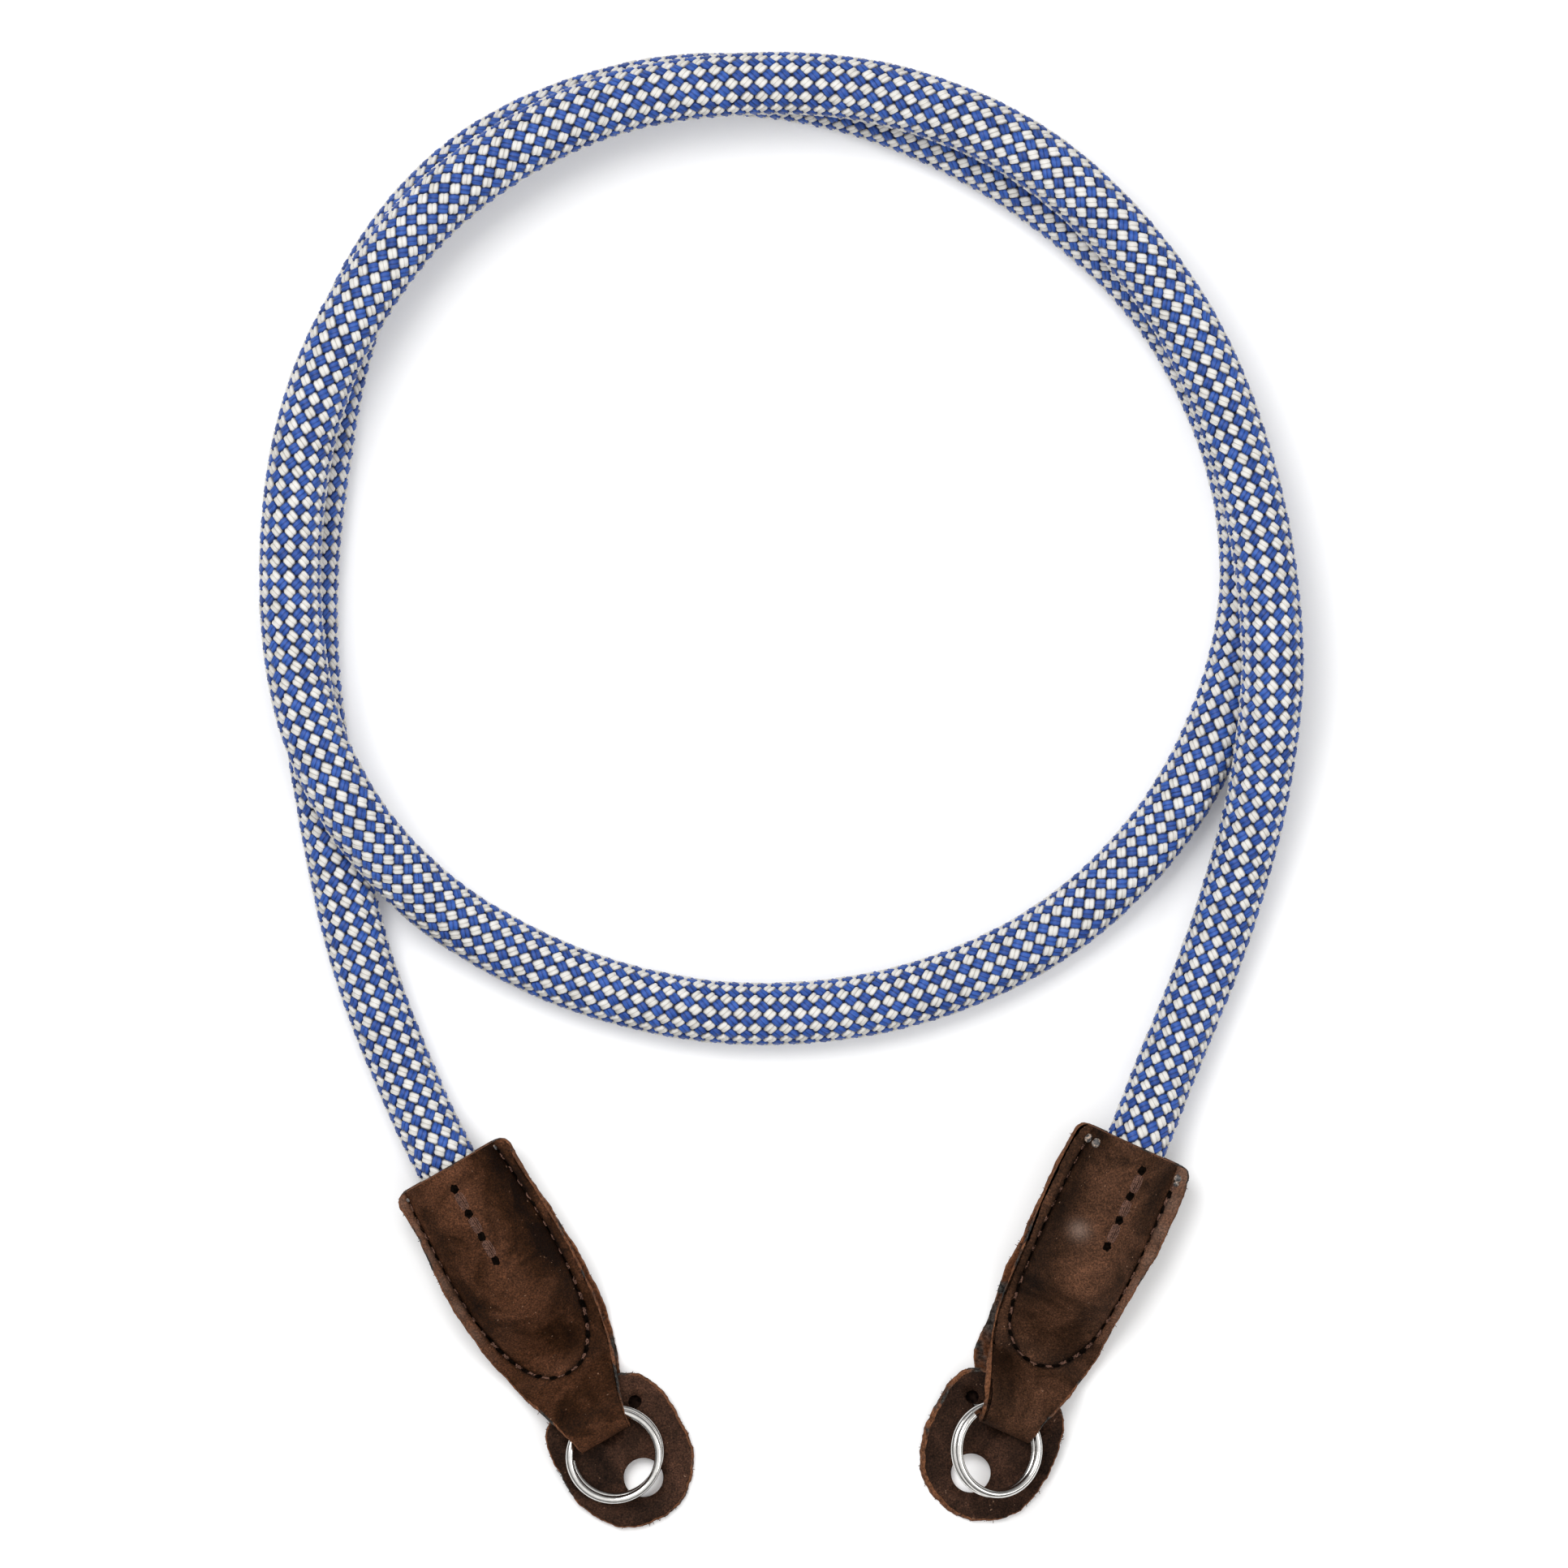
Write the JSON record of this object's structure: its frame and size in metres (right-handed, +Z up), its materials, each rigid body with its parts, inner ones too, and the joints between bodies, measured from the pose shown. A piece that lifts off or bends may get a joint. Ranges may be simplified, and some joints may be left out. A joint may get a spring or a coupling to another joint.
{
  "type": "rope camera neck strap",
  "caption": "Round braided rope neck strap lying in a loop, with folded leather ends that hold split rings and leather ring guards.",
  "frame": {"origin": "on the table under the middle of the box round the two leather ends, their rings and ring guards", "axes": "+Z up from the table that the strap lies on; +Y from the ends towards the loop; +X from the left end to the right end"},
  "size_m": [0.1653, 0.2346, 0.0201],
  "materials": {
    "braid": "tight braid of blue and white multifilament yarn",
    "leather": "oiled dark brown pull-up leather with raw cut edges",
    "steel": "polished stainless wire"
  },
  "bodies": {
    "root": {"rope": "braid", "left_leather_end": "leather", "left_ring_guard": "leather", "left_ring": "steel", "right_leather_end": "leather", "right_ring_guard": "leather", "right_ring": "steel"}
  },
  "joints": []
}
